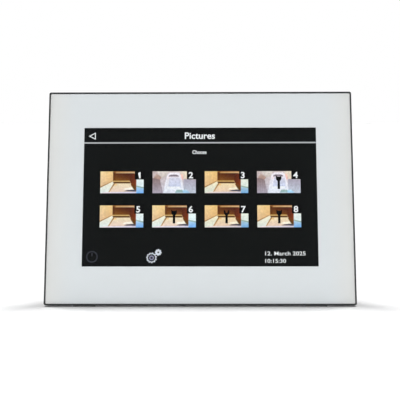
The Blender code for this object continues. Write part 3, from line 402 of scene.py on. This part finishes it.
def room_colours(room, u, v):
    """The colours of a picture's points, with its later areas over its earlier ones."""
    colours = np.zeros((len(u), 3))
    for outline, (low_colour, high_colour, right_colour), boards, turns in room:
        upright_boards, level_boards, depth = boards
        covered = inside(outline, u, v)
        us, vs = zip(*outline)
        shade = low_colour + (high_colour - low_colour) * between(v, min(vs), max(vs))
        if turns:
            shade = shade + (right_colour - low_colour) * between(u, min(us), max(us))
        if depth:
            seam = np.cos(2 * math.pi * (upright_boards * 3 * u + level_boards * 2 * v)) ** 8
            shade = shade * (1 - depth * seam[:, None])
        colours[covered] = shade[covered]
    return colours


def mottle(seed, u, v, across, up):
    """Smooth random patches, from -1 to 1, on a coarse net of points."""
    net = np.random.default_rng(seed).uniform(-1, 1, (up + 2, across + 2))
    x, y = u * across, v * up
    left, low = np.floor(x).astype(int), np.floor(y).astype(int)
    part_x, part_y = x - left, y - low
    bottom = net[low, left] * (1 - part_x) + net[low, left + 1] * part_x
    top = net[low + 1, left] * (1 - part_x) + net[low + 1, left + 1] * part_x
    return bottom * (1 - part_y) + top * part_y


def paint_picture(number, left, low, room, tint, unevenness):
    """A picture on a fine grid of dots, each the average of the points about it."""
    shape = bmesh.new()
    bmesh.ops.create_grid(shape, x_segments=DOTS_ACROSS, y_segments=DOTS_UP, size=0.5)
    places = np.array([vert.co.xy for vert in shape.verts]) + 0.5
    total = np.zeros((len(places), 3))
    for step_u, step_v in ((-0.3, -0.3), (0.3, -0.3), (-0.3, 0.3), (0.3, 0.3)):
        u = np.clip(places[:, 0] + step_u / DOTS_ACROSS, 0, 1)
        v = np.clip(places[:, 1] + step_v / DOTS_UP, 0, 1)
        total += room_colours(room, u, v) / 4
    patches = mottle(number, places[:, 0], places[:, 1], *COARSE_PATCHES)
    grain = mottle(number + 20, places[:, 0], places[:, 1], *FINE_PATCHES)
    total *= np.array(tint) * (1 + unevenness * (patches + 0.5 * grain))[:, None]
    total = np.clip(total, 0, 1) ** SHADE_TO_LIGHT
    bmesh.ops.scale(shape, vec=(PICTURE_WIDTH, PICTURE_HEIGHT, 1), verts=shape.verts)
    middle = (left + PICTURE_WIDTH / 2, low + PICTURE_HEIGHT / 2, 0)
    bmesh.ops.translate(shape, vec=middle, verts=shape.verts)
    on_screen(shape, 2)
    made = add_piece(f"room_picture_{number}", shape, picture_light)
    dots = made.data.attributes.new("dots", "FLOAT_COLOR", "POINT")
    dots.data.foreach_set("color", np.hstack([total, np.ones((len(total), 1))]).ravel())


picture_light, start = new_material("picture_light")
dots = start.node("Attribute", {"attribute_name": "dots"}, None, "Color")
self_lit(start, (0.01, 0.01, 0.01), 0.4, dots)
black, start = new_material("black_corner")
ebony = noise(start, 0.010).tint((0.0008, 0.0008, 0.0010), (0.0016, 0.0016, 0.0020))
self_lit(start, (0.002, 0.002, 0.002), 0.4, ebony)


def draw_one(left, low, height):
    """The figure one, with its flag, which the letters above draw as a bare bar."""
    outline = ((0.26, 0), (0.46, 0), (0.46, 1), (0.32, 1), (0.08, 0.86), (0.08, 0.70), (0.26, 0.78))
    shape = bmesh.new()
    shape.faces.new([shape.verts.new((left + x * height, low + y * height, 0)) for x, y in outline])
    bmesh.ops.triangulate(shape, faces=shape.faces)
    on_screen(shape, 4)
    add_piece("picture_number_1", shape, white_light)


corners = bmesh.new()
for index in range(PICTURE_COUNT):
    number = index + 1
    left = FIRST_LEFT + (index % COLUMNS) * COLUMN_PITCH
    low = ROW_LOWS[index // COLUMNS]
    if number in ARCH_PICTURES:
        paint_picture(number, left, low, ARCH_ROOM, (1, 1, 1), ARCH_UNEVENNESS)
    else:
        tint = WOOD_TINTS[number % len(WOOD_TINTS)]
        paint_picture(number, left, low, WOOD_ROOM, tint, WOOD_UNEVENNESS)
    right = left + PICTURE_WIDTH
    high = low + PICTURE_HEIGHT
    flat_box(corners, right - CORNER_WIDTH, right + CORNER_LAP, high - CORNER_HEIGHT, high + CORNER_LAP)
    if number == 1:
        draw_one(right - ONE_INSET, high - DIGIT_DROP, DIGIT_HEIGHT)
    else:
        write(
            f"picture_number_{number}", str(number), right - DIGIT_INSET, high - DIGIT_DROP,
            DIGIT_HEIGHT, DIGIT_WEIGHT, white_light, DIGIT_STRETCH,
        )
on_screen(corners, 3)
add_piece("picture_corners", corners, black)


# Screen signs: an arrow back, a spanner on the pictures that can be changed, two gear wheels, and
# a dim switch mark in the corner. All are flat shapes of light or dark.
SPANNER_PICTURES = (4, 6, 7, 8)
SPANNER_ACROSS = 0.50
SPANNER_UP = 0.18
ARROW_CORNERS = ((-0.0733, 0.0402, 0), (-0.0687, 0.0378, 0), (-0.0687, 0.0427, 0))
ARROW_BAND = 0.00055
LARGE_GEAR = (-0.0312, -0.0401)
SMALL_GEAR = (-0.0269, -0.0366)
BETWEEN_TEETH = 0.82
SWITCH_PLACE = (-0.0697, -0.0394, 0)
SWITCH_RADIUS = 0.0038
SWITCH_BAND = 0.0008
SWITCH_BAR = (-0.0004, 0.0004, 0.0004, 0.0024)
SPANNER_HALF = [
    (0.0008, 0.0), (0.0008, 0.0052), (0.0018, 0.0066),
    (0.0018, 0.0090), (0.0008, 0.0082), (0.0005, 0.0070),
]


def outline_of(shape, faces, thickness):
    """Leave only a band of the given thickness round a flat face."""
    bmesh.ops.inset_region(shape, faces=faces, thickness=thickness, use_boundary=True,
                            use_even_offset=True)
    bmesh.ops.delete(shape, geom=faces, context="FACES")


def disc(shape, x, y, radius, segments=32):
    """Add a round flat face."""
    made = bmesh.ops.create_circle(shape, cap_ends=True, segments=segments, radius=radius)["verts"]
    bmesh.ops.translate(shape, vec=(x, y, 0), verts=made)
    return made


def gear(shape, x, y, radius, teeth, band):
    """Add a gear wheel's outline, with teeth round its outside."""
    rim = disc(shape, 0, 0, radius, teeth * 4)
    for index, vert in enumerate(sorted(rim, key=lambda vert: math.atan2(vert.co.y, vert.co.x))):
        if index % 4 in (0, 1):
            vert.co *= BETWEEN_TEETH
    before = set(shape.verts) - set(rim)
    face = list({face for vert in rim for face in vert.link_faces})
    bmesh.ops.inset_region(shape, faces=face, thickness=band, use_boundary=True)
    bmesh.ops.delete(shape, geom=face, context="FACES")
    bmesh.ops.translate(shape, vec=(x, y, 0), verts=list(set(shape.verts) - before))


def band(shape, x, y, outer, inner, segments=32):
    """Add a flat ring."""
    before = set(shape.verts)
    rim = disc(shape, 0, 0, outer, segments)
    face = list({face for vert in rim for face in vert.link_faces})
    bmesh.ops.inset_region(shape, faces=face, thickness=outer - inner, use_boundary=True)
    bmesh.ops.delete(shape, geom=face, context="FACES")
    bmesh.ops.translate(shape, vec=(x, y, 0), verts=list(set(shape.verts) - before))


arrow = bmesh.new()
triangle = arrow.faces.new([arrow.verts.new(point) for point in ARROW_CORNERS])
arrow.normal_update()
outline_of(arrow, [triangle], ARROW_BAND)
on_screen(arrow, 4)
add_piece("back_arrow", arrow, white_light)

gears = bmesh.new()
gear(gears, *LARGE_GEAR, radius=0.0035, teeth=11, band=0.0006)
gear(gears, *SMALL_GEAR, radius=0.0022, teeth=8, band=0.0013)
on_screen(gears, 4)
add_piece("gear_signs", gears, lit_colour("blue_white_light", (0.72, 0.76, 0.84)))
hubs = bmesh.new()
band(hubs, *LARGE_GEAR, outer=0.0015, inner=0.0008)
on_screen(hubs, 4)
add_piece("gear_hubs", hubs, lit_colour("lilac_light", (0.32, 0.32, 0.46)))

switch_mark = bmesh.new()
ring = disc(switch_mark, 0, 0, SWITCH_RADIUS, 40)
outline_of(switch_mark, list({face for vert in ring for face in vert.link_faces}), SWITCH_BAND)
flat_box(switch_mark, *SWITCH_BAR)
bmesh.ops.translate(switch_mark, vec=SWITCH_PLACE, verts=switch_mark.verts)
on_screen(switch_mark, 4)
dim_light = lit_colour("dim_light", (0.030, 0.032, 0.045))
add_piece("switch_sign", switch_mark, dim_light)

spanners = bmesh.new()
for number in SPANNER_PICTURES:
    index = number - 1
    x = FIRST_LEFT + (index % COLUMNS) * COLUMN_PITCH + PICTURE_WIDTH * SPANNER_ACROSS
    y = ROW_LOWS[index // COLUMNS] + PICTURE_HEIGHT * SPANNER_UP
    points = SPANNER_HALF + [(-side, up) for side, up in reversed(SPANNER_HALF)]
    spanners.faces.new([spanners.verts.new((x + side, y + up, 0)) for side, up in points])
bmesh.ops.triangulate(spanners, faces=spanners.faces)
on_screen(spanners, 4)
add_piece("spanner_signs", spanners, black)


# Casing and rear cover: moulded in anthracite plastic with a fine even matt texture, snapped
# together and held by six screws. The hinge blocks and the leg are moulded in the same.
def fine_bump(start, pitch, height):
    """A moulded or cast surface's fine unevenness, for a shader's normal."""
    inputs = {"Strength": 1.0, "Distance": height, "Height": noise(start, pitch, 3.0)}
    return start.node("Bump", None, inputs)


def moulded(
    name, dark_colour, light_colour, roughness, pitch=0.0009, height=0.00002, gloss=0.45,
):
    """Plastic from a textured mould: slight patches of colour and gloss, and a fine grain."""
    made, start = new_material(name)
    patch = noise(start, 0.014, 4.0)
    varying = {
        "Base Color": patch.tint(dark_colour, light_colour),
        "Roughness": patch * 0.12 + (roughness - 0.06),
        "Normal": fine_bump(start, pitch, height),
    }
    principled(start, {"Specular IOR Level": gloss}, varying)
    return made


anthracite = moulded("anthracite_plastic", (0.020, 0.0215, 0.024), (0.027, 0.029, 0.032), 0.46)
for node in ("rear_cover", "hinge_block_left", "hinge_block_right", "stand_leg"):
    dress(node, anthracite)
dark_rim = moulded("dark_rim", (0.015, 0.016, 0.018), (0.019, 0.020, 0.022), 0.50, gloss=0.25)
dress("casing_frame", dark_rim)
black_plastic = moulded("black_plastic", (0.012, 0.012, 0.013), (0.018, 0.018, 0.019), 0.50)
for node in ("power_jack", "power_switch", "battery_holder", "processor_chip", "memory_chip",
             "speaker_left", "speaker_right", "antenna_cable"):
    dress(node, black_plastic)
grey_plastic = moulded("grey_plastic", (0.16, 0.165, 0.175), (0.19, 0.195, 0.205), 0.42)
dress("power_button", grey_plastic)


# Feet: grey rubber pads, under the bottom edge and on the end of the leg, with a matt skin.
rubber = moulded("grey_rubber", (0.050, 0.050, 0.052), (0.070, 0.070, 0.072), 0.82, 0.0006, 0.00004)
for node in ("left_foot", "right_foot", "leg_foot"):
    dress(node, rubber)


# Foam and glue: black closed-cell tape round the display and round the edge of the glass.
foam = moulded("black_foam", (0.010, 0.010, 0.010), (0.018, 0.018, 0.018), 0.90, 0.0005, 0.00008)
for node in ("glass_adhesive", "lcd_gasket"):
    dress(node, foam)


# Display layers: clear and milky plastic sheets, a dark cell, and ribbon cables in amber film.
# They lie behind the glass and are seen only when the panel is taken apart.
def smooth_sheet(name, colour, roughness):
    """A smooth sheet of film, plastic or glass, a little uneven in its shade."""
    made, start = new_material(name)
    shade = noise(start, 0.020).tint([0.97 * part for part in colour], colour)
    principled(start, {"Roughness": roughness, "IOR": 1.49}, {"Base Color": shade})
    return made


milky = smooth_sheet("milky_film", (0.78, 0.80, 0.82), 0.40)
for node in ("diffuser_film", "reflector_film", "touch_sensor"):
    dress(node, milky)
dress("light_guide", smooth_sheet("clear_acrylic", (0.86, 0.88, 0.90), 0.10))
dress("lcd_cell", smooth_sheet("dark_cell", (0.010, 0.012, 0.013), 0.12))
amber = smooth_sheet("amber_ribbon", (0.42, 0.18, 0.03), 0.30)
for node in ("touch_flex", "lcd_flex"):
    dress(node, amber)


# Metal pieces: tin-plated sheet with a rolled grain, bright nickel, and black zinc on the screws.
def metal(name, dark_colour, light_colour, roughness, stretch):
    """A plated metal whose grain runs along X: long thin streaks of gloss."""
    made, start = new_material(name)
    settings = {"vector_type": "POINT"}
    run = start.node("Mapping", settings, {"Vector": place(start), "Scale": (1 / stretch, 1, 1)})
    grain = start.node("TexNoise", None, {"Vector": run, "Scale": 900.0, "Detail": 3.0})
    varying = {
        "Base Color": grain.tint(dark_colour, light_colour),
        "Roughness": grain * 0.16 + (roughness - 0.08),
    }
    principled(start, {"Metallic": 1.0}, varying)
    return made


tin = metal("tin_plated_sheet", (0.50, 0.51, 0.52), (0.62, 0.63, 0.64), 0.34, 12)
for node in ("display_tray", "usb_port", "card_slot", "wifi_module"):
    dress(node, tin)
nickel = metal("bright_nickel", (0.60, 0.59, 0.57), (0.70, 0.69, 0.67), 0.20, 4)
for node in ("clock_battery", "friction_washer_left", "friction_washer_right"):
    dress(node, nickel)
zinc = metal("black_zinc", (0.055, 0.055, 0.060), (0.095, 0.095, 0.100), 0.34, 2)
for node in [name for name in nodes if "screw" in name or "hinge_pin" in name]:
    dress(node, zinc)


# Cover screws: pan-head screws in the same black zinc, each with a cross pressed into its head.
# They sit at the bottom of their wells in the rear cover.
CROSS_LENGTH = 0.0022
CROSS_WIDTH = 0.0006
CROSS_DEPTH = 0.0005
long = CROSS_LENGTH / 2
short = CROSS_WIDTH / 2
half = [
    (long, -short), (long, short), (short, short), (short, long), (-short, long), (-short, short),
]
outline = half + [(-x, -z) for x, z in half]
for node in sorted(name for name in nodes if name.startswith("cover_screw")):
    low, high = panel_box(node)
    cross = bmesh.new()
    face = cross.faces.new([cross.verts.new((x, -CROSS_DEPTH, z)) for x, z in outline])
    walls = bmesh.ops.extrude_face_region(cross, geom=[face])["geom"]
    ends = [vert for vert in walls if isinstance(vert, bmesh.types.BMVert)]
    bmesh.ops.translate(cross, vec=(0, 2 * CROSS_DEPTH, 0), verts=ends)
    middle = ((low.x + high.x) / 2, high.y, (low.z + high.z) / 2)
    bmesh.ops.translate(cross, vec=middle, verts=cross.verts)
    bmesh.ops.transform(cross, matrix=panel, verts=cross.verts)
    bmesh.ops.recalc_face_normals(cross, faces=cross.faces)
    mesh = bpy.data.meshes.new("cross")
    cross.to_mesh(mesh)
    cross.free()
    cutter = bpy.data.objects.new("cross", mesh)
    blank = bpy.data.objects.new("blank", nodes[node].data.copy())
    for each in (cutter, blank):
        bpy.context.scene.collection.objects.link(each)
    cut = blank.modifiers.new("cross", "BOOLEAN")
    cut.solver = "EXACT"
    cut.object = cutter
    graph = bpy.context.evaluated_depsgraph_get()
    head = bmesh.new()
    head.from_mesh(blank.evaluated_get(graph).to_mesh())
    for each in (cutter, blank):
        bpy.data.objects.remove(each)
    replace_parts(add_piece(node + "_head", head, zinc), node)


# Circuit boards: green solder mask over copper tracks, which show as slightly lighter lines.
board, start = new_material("green_board")
cells = {"Vector": place(start), "Scale": 420.0}
tracks = start.node("TexVoronoi", {"distance": "MANHATTAN"}, cells, "Distance")
green = tracks.clamped(0.30, 0.36).tint((0.010, 0.110, 0.045), (0.018, 0.150, 0.065))
principled(start, {"Roughness": 0.35}, {"Base Color": green})
for node in ("main_board", "led_strip", "wifi_antenna"):
    dress(node, board)


# Stage: a large white table with plain white all round. Two high lamps behind throw soft shadows
# forwards, and a low lamp in front lights the panel's face.
TABLE_HALF = 6.0
table = bmesh.new()
bmesh.ops.create_grid(table, x_segments=1, y_segments=1, size=TABLE_HALF)
table_top, start = new_material("white_table")
pale = noise(start, 0.5).tint((0.90, 0.90, 0.90), (0.91, 0.91, 0.91))
principled(start, {"Roughness": 0.75, "Specular IOR Level": 0.1}, {"Base Color": pale})
mesh = bpy.data.meshes.new("table")
table.to_mesh(mesh)
table.free()
mesh.materials.append(table_top)
table = bpy.data.objects.new("table", mesh)
bpy.context.scene.collection.objects.link(table)


def soft_sun(name, above, around, spread, power):
    """An even light from far off: its height, its bearing and its width are in degrees.

    The bearing is counted from the front, by way of the right-hand side.
    """
    lamp = bpy.data.lights.new(name, "SUN")
    lamp.angle = math.radians(spread)
    lamp.energy = power
    holder = bpy.data.objects.new(name, lamp)
    holder.rotation_euler = (math.radians(90 - above), 0, math.radians(around))
    bpy.context.scene.collection.objects.link(holder)


soft_sun("light_behind_right", above=69, around=148, spread=9, power=1.6)
soft_sun("light_behind_left", above=69, around=212, spread=9, power=1.6)
soft_sun("light_in_front", above=7, around=0, spread=10, power=1.9)

world = bpy.data.worlds.new("studio")
bpy.context.scene.world = world
world.use_nodes = True
world.node_tree.nodes.clear()
sky = Signal(world.node_tree)
seen = sky.node("LightPath", None, None, "Is Camera Ray")
backdrop = sky.node("Background", None, {"Color": (1, 1, 1, 1), "Strength": 1.0})
ambient = sky.node("Background", None, {"Color": (0.97, 0.98, 1.0, 1), "Strength": 0.20})
both = sky.node("MixShader", None, {0: seen, 1: ambient, 2: backdrop})
sky.node("OutputWorld", None, {"Surface": both})
bpy.context.scene.view_settings.view_transform = "Standard"


# Camera: a little above the table and a hair to the right, looking at the panel's middle.
CAMERA_DISTANCE = 0.5530
CAMERA_ABOVE = math.radians(6.23)
CAMERA_ASIDE = math.radians(0.625)
CAMERA_ROLL = math.radians(-0.156)
AIM_BELOW = 0.0028
LENS = 76.3
turn = Matrix.Rotation(CAMERA_ASIDE, 4, "Z") @ Matrix.Rotation(math.pi / 2 - CAMERA_ABOVE, 4, "X")
aim = panel @ Vector((0, print_low.y, screen_height)) + turn @ Vector((0, -AIM_BELOW, 0))
lens = bpy.data.cameras.new("camera")
lens.lens = LENS
lens.clip_start = 0.01
camera = bpy.data.objects.new("camera", lens)
stand = Matrix.Translation(aim + turn @ Vector((0, 0, CAMERA_DISTANCE)))
camera.matrix_world = stand @ turn @ Matrix.Rotation(CAMERA_ROLL, 4, "Z")
bpy.context.scene.collection.objects.link(camera)
bpy.context.scene.camera = camera
